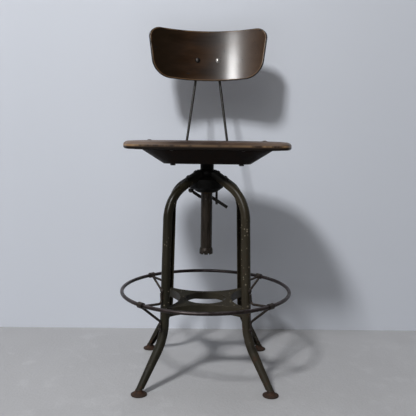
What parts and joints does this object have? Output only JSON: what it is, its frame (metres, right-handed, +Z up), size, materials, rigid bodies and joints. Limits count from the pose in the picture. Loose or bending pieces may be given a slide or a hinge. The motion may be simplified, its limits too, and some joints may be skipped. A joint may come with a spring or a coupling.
{
  "type": "drafting chair",
  "caption": "Tall drafting chair with a pressed-steel four-leg base, foot ring, latched lift tube, swivelling plywood seat on a steel pan, and a tilting bent-plywood back on two rods.",
  "frame": {"origin": "on the floor, under the axis of the lift tube", "axes": "+Z up, front of the seat towards -Y, +X to the right of a viewer who faces the front"},
  "size_m": [0.5105, 0.5106, 1.0501],
  "materials": {
    "leg_enamel": "old olive-brown enamel, chipped and speckled, half gloss",
    "bracket_steel": "worn brown enamel over steel with rust",
    "glide_iron": "rusty cast iron",
    "hub_iron": "dark greasy cast iron",
    "bronze": "dull bearing bronze",
    "ring_steel": "steel worn bare and browned by shoes, satin",
    "lever_steel": "dark worn steel",
    "spring_steel": "blued spring wire",
    "hardware": "aged steel fasteners",
    "tube_steel": "brown oxidised steel with a greasy film",
    "bright_steel": "turned steel",
    "rod_steel": "dark brown enamelled rod, worn",
    "pan_enamel": "black-brown enamel",
    "seat_wood": "worn plywood, lacquer rubbed away",
    "back_wood": "dark brown lacquered plywood, glossy, edges rubbed light"
  },
  "bodies": {
    "base": {"leg_front_left": "leg_enamel", "leg_front_right": "leg_enamel", "leg_rear_left": "leg_enamel", "leg_rear_right": "leg_enamel", "stretcher_plate": "leg_enamel", "ring_bracket_front_left": "bracket_steel", "ring_bracket_front_right": "bracket_steel", "ring_bracket_rear_left": "bracket_steel", "ring_bracket_rear_right": "bracket_steel", "foot_glide_front_left": "glide_iron", "foot_glide_front_right": "glide_iron", "foot_glide_rear_left": "glide_iron", "foot_glide_rear_right": "glide_iron", "hub_casting": "hub_iron", "hub_sleeve": "bronze", "hub_rivets": "leg_enamel", "stretcher_rivets": "leg_enamel", "foot_ring": "ring_steel", "bracket_rivets": "bracket_steel", "glide_studs": "hardware", "lever_pin": "hardware", "lever_spring": "spring_steel", "lever_keeper": "lever_steel", "keeper_screw": "hardware"},
    "lift": {"lift_tube": "tube_steel", "stop_nut": "tube_steel", "spindle": "bright_steel", "spindle_pin": "bright_steel", "thrust_washer": "bronze", "spindle_washer": "hardware", "spindle_nut": "hardware"},
    "lever": {"release_lever": "lever_steel"},
    "seat": {"seat_board": "seat_wood", "seat_pan": "pan_enamel", "seat_bolts": "hardware", "seat_nuts": "hardware", "seat_screws": "hardware", "seat_socket": "hub_iron", "socket_bush": "bronze", "socket_rivets": "pan_enamel", "rod_bolts": "hardware", "rod_nuts": "hardware", "back_rod_left": "rod_steel", "back_rod_right": "rod_steel"},
    "back": {"backrest_panel": "back_wood", "back_bracket": "pan_enamel", "back_pin": "hardware", "back_bolts": "hardware", "back_washers": "hardware", "back_nuts": "hardware"}
  },
  "joints": [
    {"name": "seat_lift", "type": "slide", "parent": "base", "child": "lift", "axis": [0, 0, 1], "range_m": [0, 0.138]},
    {"name": "seat_swivel", "type": "hinge", "parent": "lift", "child": "seat", "pos_m": [0, 0, 0.63], "axis": [0, 0, 1], "continuous": true},
    {"name": "back_tilt", "type": "hinge", "parent": "seat", "child": "back", "pos_m": [0, 0.222, 0.928], "axis": [1, 0, 0], "range_deg": [-12, 9]},
    {"name": "lever_swing", "type": "hinge", "parent": "base", "child": "lever", "pos_m": [-0.047, 0.0198, 0.551], "axis": [0, 0, 1], "range_deg": [0, 10], "stiffness_Nm_per_rad": 0.6}
  ]
}
